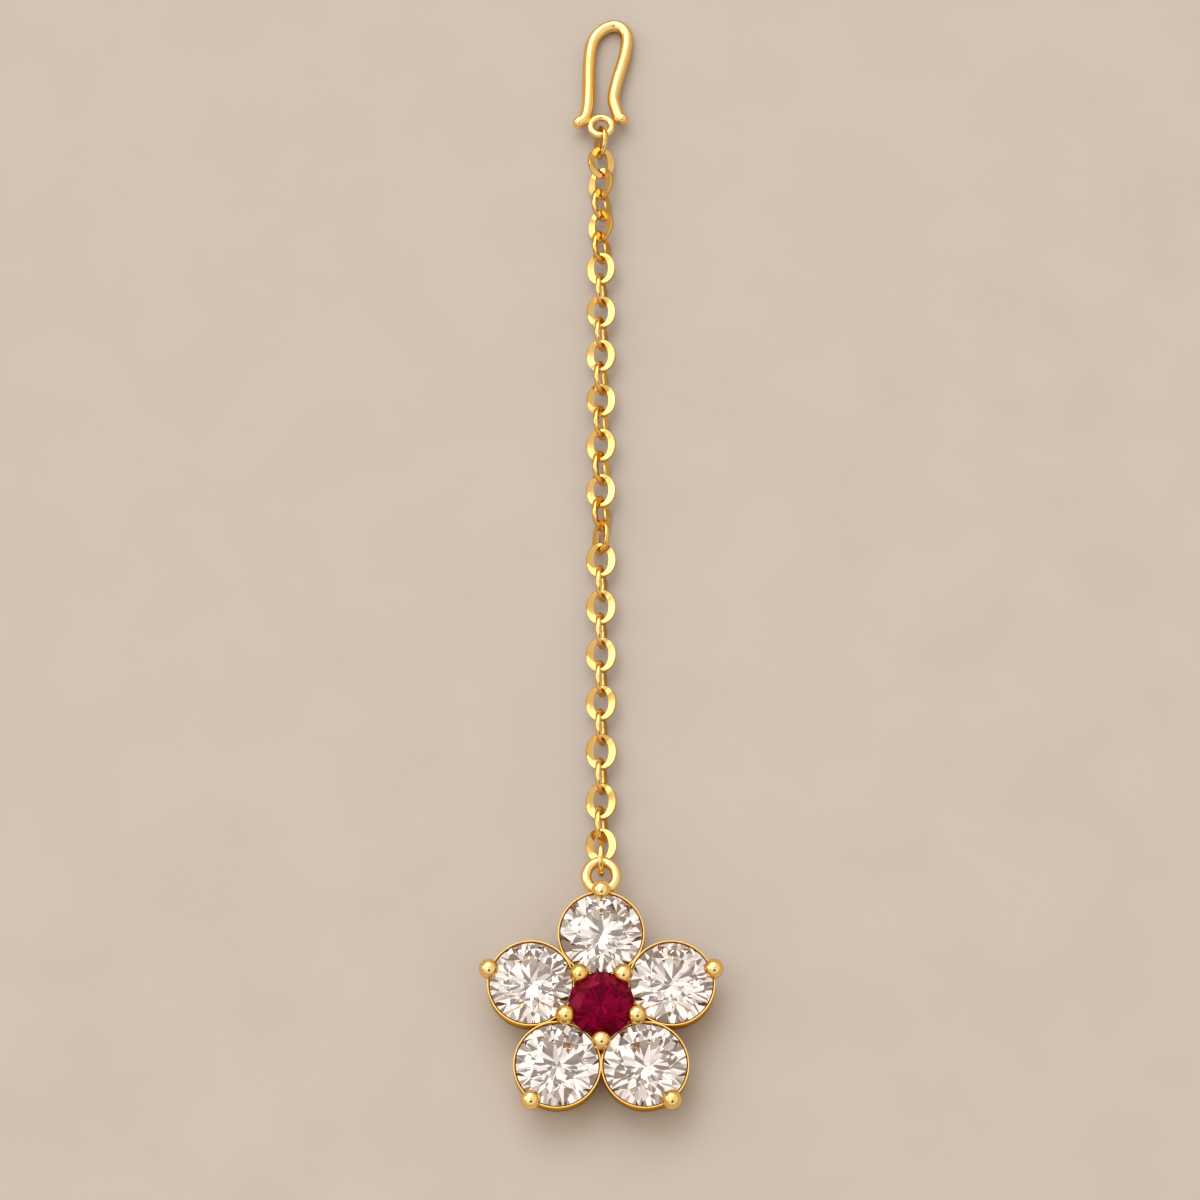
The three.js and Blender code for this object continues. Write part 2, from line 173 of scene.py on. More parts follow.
class SettingSettings(bpy.types.PropertyGroup):
    wall: length("Collet wall", "Thickness of a collet's wall", 0.2)
    lip: length("Lip", "How far the rim stands over the girdle", 0.1)
    band: length("Band", "Height of a collet's upright band", 1.5)
    base: length("Base", "Diameter of a collet at the back", 6.0)
    base_wall: length("Base wall", "Thickness of a collet's wall at the back", 0.45)
    seat: length("Seat", "Width of the ledge under the girdle", 0.35)
    culet_clearance: length("Culet clearance", "Height of a petal stone's point over the surface", 0.35)
    bite: length("Solder bite", "How deep soldered pieces run into each other", 0.1)
    cup_base: length("Cup base", "Diameter of the centre cup at the back", 3.6)
    cup_wall: length("Cup wall", "Thickness of the centre cup's wall", 0.4)
    back_ring: length("Back ring", "Thickness of the flat ring on the back", 0.6)
    prong: length("Tip prong", "Diameter of a prong at a petal's tip", 0.84)
    notch_prong: length("Notch prong", "Diameter of a prong between two petals", 1.0)
    bead: length("Bead", "Diameter of a prong's bead", 1.93)
    bead_rise: length("Bead rise", "Height of a bead's middle over the girdle", 0.3)
    overhang: length("Tip overhang", "How far a tip prong stands outside the collet", 0.02)
    bail: length("Bail ring", "Outer diameter of the bail ring", 4.02)
    bail_wire: length("Bail wire", "Thickness of the bail ring's wire", 1.04)
    bail_bite: length("Bail bite", "How deep the bail ring runs into the top petal", 0.18)
    bail_height: length("Bail height", "Height of the bail ring over the surface", 3.0)


class ChainSettings(bpy.types.PropertyGroup):
    link_length: length("Link length", "Outer length of a link", 3.89)
    link_width: length("Link width", "Outer width of a link", 3.12)
    end_wire: length("End wire", "Width of the wire at a link's ends", 0.55)
    side_wire: length("Side wire", "Width of the wire along a link's sides", 0.8)
    thickness: length("Thickness", "Thickness of a link's wire at its ends", 0.58)
    swell: length("Swell", "How much thicker a link's wire is along its sides", 0.12)
    play: length("Play", "Clearance between two links", 0.157)
    cut_angle: angle_of("Cut angle", "How far a link's cut faces slope", 13.0)
    cut_depth: length("Cut depth", "How deep a link's faces are cut", 0.09)


class HookSettings(bpy.types.PropertyGroup):
    reach: length("Length", "From the eye's middle to the wire's middle at the bend", 13.6)
    lean: length("Lean", "How far the bend swings to the free leg's side", 2.9)
    wire: length("Wire", "Thickness of the hook's wire", 1.34)
    eye: length("Eye", "Outer diameter of the eye", 3.1)
    eye_wire: length("Eye wire", "Thickness of the eye's wire", 0.78)
    gap: length("Spring gap", "Between the eye and the free leg", 0.14)
    flare: length("Toe flare", "How far the toes turn out", 0.66)
    drop: length("Toe drop", "How far the toes run on beyond the eye", 0.62)


class FinishSettings(bpy.types.PropertyGroup):
    gold: colour("Gold", "Colour of the polished gold", (1.0, 0.74, 0.33, 1.0))
    gold_deep: colour("Deep gold", "Colour of the gold where its plate is thicker", (0.93, 0.64, 0.21, 1.0))
    surface: colour("Surface", "Colour of the surface that the jewel lies on", (0.485, 0.43, 0.39, 1.0))


class ViewSettings(bpy.types.PropertyGroup):
    distance: length("Distance", "From the camera to the jewel", 306.9)
    tilt: angle_of("Tilt", "The camera's tilt from upright", 22.0)
    aim: length("Aim", "How far the camera aims towards the flower", 8.62)
    shift: length("Shift", "How far the camera aims to the left", 0.12)
    height: length("Height", "How high over the surface the camera aims", 2.0)
    lens: FloatProperty(name="Lens", description="Focal length in millimetres", default=89.1, min=1.0)


def settings():
    return bpy.context.scene.tikka


class TikkaSettings(bpy.types.PropertyGroup):
    stones: PointerProperty(type=StoneSettings)
    setting: PointerProperty(type=SettingSettings)
    chain: PointerProperty(type=ChainSettings)
    hook: PointerProperty(type=HookSettings)
    finish: PointerProperty(type=FinishSettings)
    view: PointerProperty(type=ViewSettings)


# Meshes


def round_from_y(angle, distance, z=0.0):
    """A point at an angle from +Y, turning towards -X, at a distance from the axis."""
    return Vector((-distance * math.sin(angle), distance * math.cos(angle), z))


def add_piece(name, mesh, finish, nodes):
    """Shows a mesh as a piece of the jewel, in the place of the named solids."""
    piece = bpy.data.objects.new(name, mesh)
    bpy.context.scene.collection.objects.link(piece)
    piece.data.materials.clear()
    piece.data.materials.append(finish)
    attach(piece, BODY)
    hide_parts(*nodes)
    return piece


def mesh_of(name, points, faces, sharp_angle=40.0):
    mesh = bpy.data.meshes.new(name)
    mesh.from_pydata([tuple(p) for p in points], [], faces)
    mesh.validate()
    shade(mesh, sharp_angle)
    return mesh


def shade(mesh, sharp_angle):
    mesh.shade_smooth()
    mesh.set_sharp_from_angle(angle=math.radians(sharp_angle))


def joined(name, meshes, sharp_angle=40.0):
    """One mesh out of several, each a closed shell of its own."""
    work = bmesh.new()
    for mesh in meshes:
        work.from_mesh(mesh)
    made = bpy.data.meshes.new(name)
    work.to_mesh(made)
    work.free()
    for mesh in meshes:
        bpy.data.meshes.remove(mesh)
    shade(made, sharp_angle)
    return made


def planar_sweep(name, line, section, closed=True, sharp_angle=40.0):
    """A wire along a line in the XY plane. Each step of the line is (centre, outward, width, height), and
    the section is a ring of (out, up), as shares of the width and the height."""
    points = []
    for centre, outward, width, height in line:
        for out, up in section:
            points.append(centre + outward * (out * width) + Vector((0, 0, up * height)))
    count = len(section)
    steps = len(line)
    faces = []
    for step in range(steps if closed else steps - 1):
        here = step * count
        ahead = ((step + 1) % steps) * count
        for side in range(count):
            other = (side + 1) % count
            faces.append((here + side, ahead + side, ahead + other, here + other))
    if not closed:
        faces.append(tuple(range(count)))
        faces.append(tuple(reversed(range((steps - 1) * count, steps * count))))
    return mesh_of(name, points, faces, sharp_angle)


def round_section(sides):
    turns = [2 * math.pi * i / sides for i in range(sides)]
    return [(0.5 * math.cos(a), 0.5 * math.sin(a)) for a in turns]


def ring_mesh(name, diameter, wire, centre, steps=96, sides=28):
    """A closed round ring of round wire, lying flat."""
    radius = (diameter - wire) / 2
    line = []
    for step in range(steps):
        outward = Vector((math.cos(2 * math.pi * step / steps), math.sin(2 * math.pi * step / steps), 0))
        line.append((centre + outward * radius, outward, wire, wire))
    return planar_sweep(name, line, round_section(sides))


def lathe_mesh(name, profile, place, steps=96, sharp_angle=40.0):
    """A shell turned about Z from a closed profile of (radius, height), drawn up its outside and down its
    inside, and then moved by a matrix."""
    points = []
    faces = []
    count = len(profile)
    for step in range(steps):
        turn = 2 * math.pi * step / steps
        for radius, height in profile:
            points.append(place @ Vector((radius * math.cos(turn), radius * math.sin(turn), height)))
        here = step * count
        ahead = ((step + 1) % steps) * count
        for side in range(count):
            other = (side + 1) % count
            faces.append((here + side, ahead + side, ahead + other, here + other))
    return mesh_of(name, points, faces, sharp_angle)


def ball_mesh(name, diameter, centre):
    work = bmesh.new()
    bmesh.ops.create_uvsphere(work, u_segments=48, v_segments=24, radius=diameter / 2)
    bmesh.ops.translate(work, verts=work.verts, vec=centre)
    mesh = bpy.data.meshes.new(name)
    work.to_mesh(mesh)
    work.free()
    shade(mesh, 40.0)
    return mesh


def post_mesh(name, low, high, low_width, high_width, sides=40, steps=8):
    """A round post between two points, with a width of its own at each end."""
    along = (high - low).normalized()
    turn = Vector((0, 0, 1)).rotation_difference(along).to_matrix()
    points = []
    for step in range(steps + 1):
        part = step / steps
        width = low_width + (high_width - low_width) * part
        for i in range(sides):
            angle = 2 * math.pi * i / sides
            edge = Vector((math.cos(angle), math.sin(angle), 0)) * (width / 2)
            points.append(low.lerp(high, part) + turn @ edge)
    faces = [tuple(reversed(range(sides))), tuple(range(steps * sides, (steps + 1) * sides))]
    for step in range(steps):
        for i in range(sides):
            j = (i + 1) % sides
            here = step * sides
            faces.append((here + i, here + j, here + sides + j, here + sides + i))
    return mesh_of(name, points, faces)


def combined(name, base, others, operation):
    """The base mesh with others joined to it or cut out of it."""
    holder = bpy.data.objects.new(name, base)
    bpy.context.scene.collection.objects.link(holder)
    tools = []
    for mesh in others:
        tool = bpy.data.objects.new(name + "_tool", mesh)
        bpy.context.scene.collection.objects.link(tool)
        step = holder.modifiers.new("step", "BOOLEAN")
        step.solver = "MANIFOLD"
        step.operation = operation
        step.object = tool
        tools.append(tool)
    bpy.context.view_layer.update()
    seen = holder.evaluated_get(bpy.context.evaluated_depsgraph_get())
    made = bpy.data.meshes.new_from_object(seen)
    made.name = name
    for item in [holder] + tools:
        mesh = item.data
        bpy.data.objects.remove(item)
        bpy.data.meshes.remove(mesh)
    if not made.polygons:
        raise RuntimeError(name + " came out empty")
    return made


# Finishes


class Tree:
    """A material's nodes, added and joined by short calls."""

    def __init__(self, name):
        self.material = bpy.data.materials.new(name)
        self.material.use_nodes = True
        self.nodes = self.material.node_tree.nodes
        self.links = self.material.node_tree.links
        self.nodes.clear()
        self.output = self.nodes.new("ShaderNodeOutputMaterial")
        self.shader = self.nodes.new("ShaderNodeBsdfPrincipled")
        self.links.new(self.shader.outputs["BSDF"], self.output.inputs["Surface"])
        self.place = self.nodes.new("ShaderNodeTexCoord").outputs["Object"]

    def noise(self, scale, detail=2.0):
        """Soft patches, so many to the metre."""
        node = self.nodes.new("ShaderNodeTexNoise")
        node.inputs["Scale"].default_value = scale
        node.inputs["Detail"].default_value = detail
        self.links.new(self.place, node.inputs["Vector"])
        return node.outputs["Fac"]

    def ramp(self, factor, stops):
        """A colour for each value, from (value, colour) stops."""
        node = self.nodes.new("ShaderNodeValToRGB")
        ramp = node.color_ramp
        ramp.elements[0].position, ramp.elements[0].color = stops[0]
        ramp.elements[1].position, ramp.elements[1].color = stops[-1]
        for position, value in stops[1:-1]:
            ramp.elements.new(position).color = value
        self.links.new(factor, node.inputs["Fac"])
        return node.outputs["Color"]

    def range(self, value, low, high, from_low=0.3, from_high=0.7):
        """A value spread from low to high, as it goes from one number to another."""
        node = self.nodes.new("ShaderNodeMapRange")
        for name, number in (
            ("From Min", from_low),
            ("From Max", from_high),
            ("To Min", low),
            ("To Max", high),
        ):
            node.inputs[name].default_value = number
        self.links.new(value, node.inputs["Value"])
        return node.outputs["Result"]

    def bump(self, height, strength, distance):
        node = self.nodes.new("ShaderNodeBump")
        node.inputs["Strength"].default_value = strength
        node.inputs["Distance"].default_value = distance
        self.links.new(height, node.inputs["Height"])
        self.links.new(node.outputs["Normal"], self.shader.inputs["Normal"])

    def upright(self):
        """A share that is 1 on faces that stand upright, such as a stone's girdle, and 0 elsewhere."""
        split = self.nodes.new("ShaderNodeSeparateXYZ")
        self.links.new(self.nodes.new("ShaderNodeNewGeometry").outputs["Normal"], split.inputs[0])
        size = self.nodes.new("ShaderNodeMath")
        size.operation = "ABSOLUTE"
        self.links.new(split.outputs["Z"], size.inputs[0])
        return self.range(size.outputs[0], 1.0, 0.0, 0.02, 0.1)

    def mixed(self, factor, value, other):
        """A colour, with another in its place where the factor is 1."""
        node = self.nodes.new("ShaderNodeMix")
        node.data_type = "RGBA"
        self.links.new(factor, node.inputs["Factor"])
        self.links.new(value, node.inputs["A"])
        node.inputs["B"].default_value = other
        return node.outputs["Result"]

    def feed(self, socket, value):
        self.links.new(value, self.shader.inputs[socket])


def polished_gold(name, finish_and_shade):
    """Mirror-polished yellow gold plate, a little deeper in places, with fine polishing marks, darkened all
    over by its painted shade share.
    """
    if name in bpy.data.materials:
        return bpy.data.materials[name]
    rough_low, rough_high, depth, shade_share = finish_and_shade
    finish = settings().finish
    tree = Tree(name)
    tree.shader.inputs["Metallic"].default_value = 1.0
    tree.shader.inputs["Specular Tint"].default_value = GOLD_EDGE
    # A shade share under 1 darkens this gold all over: painted shade on the collets and the links
    deep, gold = [tuple(a * b for a, b in zip(c, shade_share)) for c in (finish.gold_deep, finish.gold)]
    tint = tree.ramp(tree.noise(PLATE_PATCHES, 3.0), [(depth, deep), (depth + TONE_BLEND, gold)])
    tree.feed("Base Color", tint)
    tree.feed("Roughness", tree.range(tree.noise(POLISH_MARKS, 3.0), rough_low, rough_high))
    tree.bump(tree.noise(POLISH_RIPPLE), RIPPLE_STRENGTH, RIPPLE_HEIGHT)
    return tree.material


def clear_brilliant():
    """Colourless cut stone whose upright girdle faces are painted a dim blue-grey, as painted shade over
    the gold seen through them, and with a trace of warmth from place to place.
    """
    if "white_stone" in bpy.data.materials:
        return bpy.data.materials["white_stone"]
    stones = settings().stones
    tree = Tree("white_stone")
    shader = tree.shader.inputs
    shader["Transmission Weight"].default_value = 1.0
    shader["IOR"].default_value = CLEAR_INDEX
    shader["Specular Tint"].default_value = CLEAR_GLINT
    shader["Roughness"].default_value = 0.0
    clear = tuple(stones.diamond_tint)
    warm = (clear[0], clear[1] * 0.985, clear[2] * 0.95, 1.0)
    body = tree.ramp(tree.noise(STONE_ZONES), [(0.4, clear), (0.65, warm)])
    # The upright girdle faces take the painted shade in place of the body colour
    tree.feed("Base Color", tree.mixed(tree.upright(), body, GIRDLE_PAINTED_SHADE))
    return tree.material


def red_stone():
    """Deep crimson cut stone, a little darker in zones."""
    stones = settings().stones
    tree = Tree("red_stone")
    shader = tree.shader.inputs
    shader["Transmission Weight"].default_value = RED_CLEARNESS
    shader["IOR"].default_value = RED_INDEX
    shader["Specular Tint"].default_value = RED_GLINT
    shader["Roughness"].default_value = 0.0
    bright = tuple(stones.ruby_tint)
    deep = (bright[0] * 0.8, bright[1] * 0.6, bright[2] * 0.8, 1.0)
    tree.feed("Base Color", tree.ramp(tree.noise(RUBY_ZONES), [(0.4, deep), (0.6, bright)]))
    return tree.material


def pale_surface():
    """The plain pale surface, with the faintest mottle."""
    finish = settings().finish
    tree = Tree("pale_surface")
    base = tuple(finish.surface)
    darker = tuple(c * 0.97 for c in base[:3]) + (1.0,)
    tree.feed("Base Color", tree.ramp(tree.noise(SURFACE_MOTTLE, 4.0), [(0.4, darker), (0.6, base)]))
    tree.shader.inputs["Roughness"].default_value = 0.85
    tree.shader.inputs["Specular IOR Level"].default_value = 0.2
    return tree.material


# Stones


def stone_heights(diameter):
    stones = settings().stones
    girdle = diameter * stones.girdle
    return girdle, girdle + diameter * stones.crown, -diameter * stones.pavilion


def cut_plane(work, through, normal):
    """Grinds a convex body flat on one plane."""
    parts = work.verts[:] + work.edges[:] + work.faces[:]
    cut = bmesh.ops.bisect_plane(
        work, geom=parts, plane_co=through, plane_no=normal, dist=1e-8, clear_outer=True
    )
    edges = [e for e in cut["geom_cut"] if isinstance(e, bmesh.types.BMEdge)]
    if edges:
        bmesh.ops.edgeloop_fill(work, edges=edges)


def facet(work, a, b, c):
    """Grinds a facet through three points, facing away from the stone's middle."""
    normal = (b - a).cross(c - a).normalized()
    if normal.dot(a) < 0:
        normal.negate()
    cut_plane(work, a, normal)


def brilliant_mesh(name, diameter, place, grow=0.0, sides=128):
    """A round brilliant of 57 facets with its girdle's lower edge at zero, ground out of a round blank."""
    stones = settings().stones
    girdle, table, culet = stone_heights(diameter)
    slope = math.atan2(-culet, diameter / 2)
    radius = diameter / 2 + grow
    table_radius = diameter / 2 * stones.table + grow
    culet -= grow / math.cos(slope)
    table += grow
    half = math.pi / 8
    crown_slope = (table - girdle) / (radius - table_radius)
    star_radius = table_radius * math.cos(half)
    star_radius += (radius - star_radius) * stones.star
    star_height = table - (star_radius * math.cos(half) - table_radius) * crown_slope
    lower_radius = radius * (1 - stones.lower_half)
    lower_height = culet * (1 - lower_radius * math.cos(half) / radius)

    work = bmesh.new()
    depth = (table - culet) * 1.2
    bmesh.ops.create_cone(work, cap_ends=True, segments=sides, radius1=radius, radius2=radius, depth=depth)
    bmesh.ops.translate(work, verts=work.verts, vec=(0, 0, (table + culet) / 2))
    cut_plane(work, Vector((0, 0, table)), Vector((0, 0, 1)))
    for i in range(8):
        main = i * 2 * half
        middle = main + half
        far = main + 2 * half
        tip = Vector((0, 0, culet))
        star = round_from_y(middle, star_radius, star_height)
        lower = round_from_y(middle, lower_radius, lower_height)
        top_here = round_from_y(main, table_radius, table)
        top_next = round_from_y(far, table_radius, table)
        high = [round_from_y(a, radius, girdle) for a in (main, middle, far)]
        low = [round_from_y(a, radius, 0.0) for a in (main, middle, far)]
        before = round_from_y(main - half, star_radius, star_height)
        facet(work, top_here, star, top_next)
        facet(work, before, high[0], star)
        facet(work, star, high[0], high[1])
        facet(work, star, high[1], high[2])
        facet(work, low[0], lower, low[1])
        facet(work, low[1], lower, low[2])
        facet(work, tip, lower, round_from_y(main - half, lower_radius, lower_height))
    bmesh.ops.remove_doubles(work, verts=work.verts, dist=1e-7)
    bmesh.ops.recalc_face_normals(work, faces=work.faces)
    for vert in work.verts:
        vert.co = place @ vert.co
    mesh = bpy.data.meshes.new(name)
    work.to_mesh(mesh)
    work.free()
    return mesh


def middle_of(node):
    low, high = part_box(node)
    return (low + high) / 2


class TIKKA_OT_diamonds(bpy.types.Operator):
    """Cuts the five round brilliants of the petals"""

    bl_idname = "tikka.diamonds"
    bl_label = "Petal Stones"

    def execute(self, context):
        stones = settings().stones
        for i in range(PETALS):
            node = f"diamond_{i + 1}"
            name = f"petal_stone_{i + 1}"
            mesh = brilliant_mesh(name, stones.diamond_diameter, petal_place(i))
            add_piece(name, mesh, clear_brilliant(), [node])
        return {"FINISHED"}


class TIKKA_OT_ruby(bpy.types.Operator):
    """Cuts the ruby in the middle of the flower"""

    bl_idname = "tikka.ruby"
    bl_label = "Ruby"

    def execute(self, context):
        mesh = brilliant_mesh("centre_stone", settings().stones.ruby_diameter, centre_place())
        add_piece("centre_stone", mesh, red_stone(), ["ruby"])
        return {"FINISHED"}


# Setting


def centre_place():
    """The flower's axis, at the height of the ruby's girdle."""
    middle = middle_of("ruby")
    _, _, culet = stone_heights(settings().stones.ruby_diameter)
    low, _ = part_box("ruby")
    return Matrix.Translation((middle.x, middle.y, low.z - culet))


def petal_place(index):
    """A petal's axis, at the height of its stone's girdle, with +Y towards the petal's tip."""
    middle = middle_of(f"diamond_{index + 1}")
    _, _, culet = stone_heights(settings().stones.diamond_diameter)
    low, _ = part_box(f"diamond_{index + 1}")
    turn = Matrix.Rotation(2 * math.pi * index / PETALS, 4, "Z")
    return Matrix.Translation((middle.x, middle.y, low.z - culet)) @ turn


def setting_sizes():
    """The setting's worked-out sizes, in one dictionary."""
    stones = settings().stones
    metal = settings().setting
    inner = (stones.diamond_diameter / 2 + stones.play) / math.cos(math.pi / COLLET_FLATS)
    outer = inner + metal.wall
    distance = (outer - metal.bite / 2) / math.sin(math.pi / PETALS)
    girdle, _, culet = stone_heights(stones.diamond_diameter)
    height = metal.culet_clearance - culet
    rim = height + girdle + metal.lip
    return {
        "inner": inner,
        "outer": outer,
        "distance": distance,
        "height": height,
        "girdle": girdle,
        "rim": rim,
        "foot": rim - metal.band,
        "slope": -culet / (stones.diamond_diameter / 2),
    }


def rounded_rim(outer, inner, top, steps=6):
    """A rim's rounded top, from its outside to its inside."""
    middle = (outer + inner) / 2
    radius = (outer - inner) / 2
    turns = [math.pi * i / steps for i in range(steps + 1)]
    return [(middle + radius * math.cos(a), top - radius + radius * math.sin(a)) for a in turns]


def collet_mesh(name, place):
    size = setting_sizes()
    metal = settings().setting
    play = settings().stones.play
    slope = size["slope"]
    base = metal.base / 2
    seat_inner = size["inner"] - metal.seat
    seat_top = size["height"] - play / math.cos(math.atan(slope))
    seat_low = seat_top - metal.seat * slope
    profile = [(base - metal.base_wall, 0.0), (base, 0.0)]
    steps = 10
    for i in range(1, steps + 1):
        part = i / steps
        swell = math.sin(part * math.pi) * COLLET_SWELL
        profile.append((base + (size["outer"] - base) * part + swell, size["foot"] * part))
    profile += rounded_rim(size["outer"], size["inner"], size["rim"])
    profile += [(size["inner"], seat_top), (seat_inner, seat_low), (seat_inner, seat_low - metal.wall)]
    return lathe_mesh(name, profile, place, steps=128, sharp_angle=35.0)


def on_surface(place):
    """The same axis, but from the surface that the jewel lies on."""
    return Matrix.Translation((0, 0, -place.translation.z)) @ place


def cup_mesh(name):
    size = setting_sizes()
    metal = settings().setting
    stones = settings().stones
    place = centre_place()
    ruby_radius = stones.ruby_diameter / 2
    outer = size["distance"] - size["outer"] + metal.bite
    base = metal.cup_base / 2
    slope = 2 * stones.pavilion
    seat = place.translation.z - (ruby_radius - outer + metal.cup_wall) * slope
    inner = outer - metal.cup_wall
    profile = [(base - metal.cup_wall, 0.0), (base, 0.0), (outer, size["foot"]), (outer, seat)]
    profile += [(inner, seat), (inner, size["foot"])]
    shell = lathe_mesh(name, profile, on_surface(place), steps=96)
    seat_tool = brilliant_mesh("seat", stones.ruby_diameter, place, stones.play)
    return combined(name, shell, [seat_tool], "DIFFERENCE")


def back_ring_mesh(name):
    size = setting_sizes()
    metal = settings().setting
    inner = metal.cup_base / 2 - metal.cup_wall
    outer = size["distance"] - metal.base / 2 + metal.base_wall
    thick = metal.back_ring
    edge = thick * 0.15
    profile = [
        (inner, edge), (inner + edge, 0.0), (outer - edge, 0.0), (outer, edge), (outer, thick - edge),
        (outer - edge, thick), (inner + edge, thick), (inner, thick - edge),
    ]  # fmt: skip
    return lathe_mesh(name, profile, on_surface(centre_place()), steps=96)


def prong_meshes(low, high, width, bead, seats, name):
    """A prong with its bead, cut to sit over the stones' edges."""
    post = post_mesh(name, low, high, width, width)
    ball = ball_mesh(name + "_bead", bead, high)
    whole = combined(name, post, [ball], "UNION")
    made = combined(name, whole, seats, "DIFFERENCE")
    shade(made, 45.0)
    return made


class TIKKA_OT_setting(bpy.types.Operator):
    """Builds the soldered setting: collets, cup, back ring, bead prongs and bail ring"""

    bl_idname = "tikka.setting"
    bl_label = "Setting"

    def execute(self, context):
        gold = polished_gold("polished_gold", BEAD_FINISH)
        # The collets' gold is darker than the beads' gold by painted shade
        shaded_collet_gold = polished_gold("shaded_collet_gold", COLLET_FINISH_AND_SHADE)
        size = setting_sizes()
        metal = settings().setting
        stones = settings().stones
        for i in range(PETALS):
            name = f"collet_{i + 1}"
            mesh = collet_mesh(name, on_surface(petal_place(i)))
            add_piece(name, mesh, shaded_collet_gold, ["setting"])
        add_piece("centre_cup", cup_mesh("centre_cup"), gold, ["setting"])
        add_piece("back_ring", back_ring_mesh("back_ring"), gold, ["setting"])

        for i in range(PETALS):
            place = on_surface(petal_place(i))
            bead_height = size["height"] + size["girdle"] + metal.bead_rise
            high = place @ Vector((0, size["outer"] + metal.overhang, bead_height))
            low = place @ Vector((0, metal.base / 2, PRONG_FOOT))
            seat = brilliant_mesh("seat", stones.diamond_diameter, petal_place(i), stones.play)
            name = f"tip_prong_{i + 1}"
            mesh = prong_meshes(low, high, metal.prong, metal.bead, [seat], name)
            add_piece(name, mesh, gold, ["setting"])

        ruby_girdle, _, _ = stone_heights(stones.ruby_diameter)
        centre = centre_place()
        distance = stones.ruby_diameter / 2 + metal.notch_prong / 2 - PRONG_NOTCH
        for i in range(PETALS):
            turn = 2 * math.pi * (i + 0.5) / PETALS
            spot = centre.translation.to_2d().to_3d() + round_from_y(turn, distance)
            high = spot + Vector((0, 0, centre.translation.z + ruby_girdle + metal.bead_rise))
            low = spot + Vector((0, 0, PRONG_FOOT))
            seat = brilliant_mesh("seat", stones.ruby_diameter, centre, stones.play)
            name = f"notch_prong_{i + 1}"
            mesh = prong_meshes(low, high, metal.notch_prong, metal.bead, [seat], name)
            add_piece(name, mesh, gold, ["setting"])

        top = petal_place(0).translation
        away = size["outer"] + metal.bail / 2 - metal.bail_bite
        centre = Vector((top.x, top.y + away, metal.bail_height))
        mesh = ring_mesh("bail_ring", metal.bail, metal.bail_wire, centre)
        add_piece("bail_ring", mesh, gold, ["setting"])
        return {"FINISHED"}


# Chain


def oval_point(angle, width, height):
    """A point on the wire's rounded section: how far out and how far up."""
    out = math.copysign(abs(math.cos(angle)) ** WIRE_POWER, math.cos(angle)) * width / 2
    up = math.copysign(abs(math.sin(angle)) ** WIRE_POWER, math.sin(angle)) * height / 2
    return out, up


def lowest(faces, out):
    """The height that the cut faces leave, each face being a (level, slope)."""
    return min(level + slope * out for level, slope in faces)


def crease(low, high, width, height, faces):
    """The angle between two others where the section meets its cut faces."""
    for _ in range(30):
        middle = (low + high) / 2
        out, up = oval_point(middle, width, height)
        if up > lowest(faces, out):
            high = middle
        else:
            low = middle
    return (low + high) / 2


def cut_points(width, height, faces):
    """The cut top of a section: the angles where it starts and ends, and the points between them."""
    outer = crease(0.0, math.pi / 2, width, height, faces)
    inner = crease(math.pi, math.pi / 2, width, height, faces)
    right = oval_point(outer, width, height)[0]
    left = oval_point(inner, width, height)[0]
    cross = (right + left) / 2
    if len(faces) == 2 and abs(faces[0][1] - faces[1][1]) > 1e-6:
        meeting = (faces[1][0] - faces[0][0]) / (faces[0][1] - faces[1][1])
        if left < meeting < right:
            cross = meeting
    outs = ((right + cross) / 2, cross, (cross + left) / 2)
    return outer, inner, [(out, lowest(faces, out)) for out in outs]


def cut_section(width, height, top, bottom):
    """The wire's section with faces cut on its top and its bottom, as (out, up) from its middle."""
    outer, inner, upper = cut_points(width, height, top)
    outer_low, inner_low, lower = cut_points(width, height, bottom)
    sides = 8
    span = outer + outer_low
    section = [oval_point(-outer_low + span * i / sides, width, height) for i in range(sides + 1)]
    section += upper
    span = 2 * math.pi - inner_low - inner
    section += [oval_point(inner + span * i / sides, width, height) for i in range(sides + 1)]
    section += [(out, -up) for out, up in reversed(lower)]
    return section


def link_mesh(name, place, turn, flat):
    """An oval link lying flat before it is placed: a rounded wire with cut faces that slope inwards. A
    link that lies flat has one corner more cut off its top."""
    chain = settings().chain
    across = (chain.link_width - chain.side_wire) / 2
    along = (chain.link_length - chain.end_wire) / 2
    corner_turn = CORNER_TURN + turn
    corner = Vector((across * math.cos(corner_turn), along * math.sin(corner_turn), 0))
    steps = 80
    points = []
    for step in range(steps):
        angle = 2 * math.pi * step / steps
        outward = Vector((along * math.cos(angle), across * math.sin(angle), 0)).normalized()
        centre = Vector((across * math.cos(angle), along * math.sin(angle), 0))
        sideways = abs(math.cos(angle))
        width = chain.end_wire + (chain.side_wire - chain.end_wire) * math.cos(angle) ** 2
        height = chain.thickness + chain.swell * min(1.0, sideways * SWELL_REACH) ** 2
        depth = chain.cut_depth * (END_CUT + (1 - END_CUT) * min(1.0, sideways * CUT_REACH))
        depth += (height - chain.thickness) * 0.5
        face = (height / 2 - depth, math.tan(chain.cut_angle) * min(1.0, sideways * SLOPE_REACH))
        top = [face]
        if flat and math.pi < angle < 1.5 * math.pi:
            level = chain.thickness / 2 - chain.cut_depth + CORNER_LEAN.dot(centre - corner)
            top.append((max(level, chain.thickness * CORNER_FLOOR), CORNER_LEAN.dot(outward)))
        for out, up in cut_section(width, height, top, [face]):
            points.append(centre + outward * out + Vector((0, 0, up)))
    count = len(points) // steps
    faces = []
    for step in range(steps):
        here = step * count
        ahead = ((step + 1) % steps) * count
        for side in range(count):
            other = (side + 1) % count
            faces.append((here + side, ahead + side, ahead + other, here + other))
    mesh = mesh_of(name, points, faces, 20.0)
    mesh.transform(place)
    return mesh


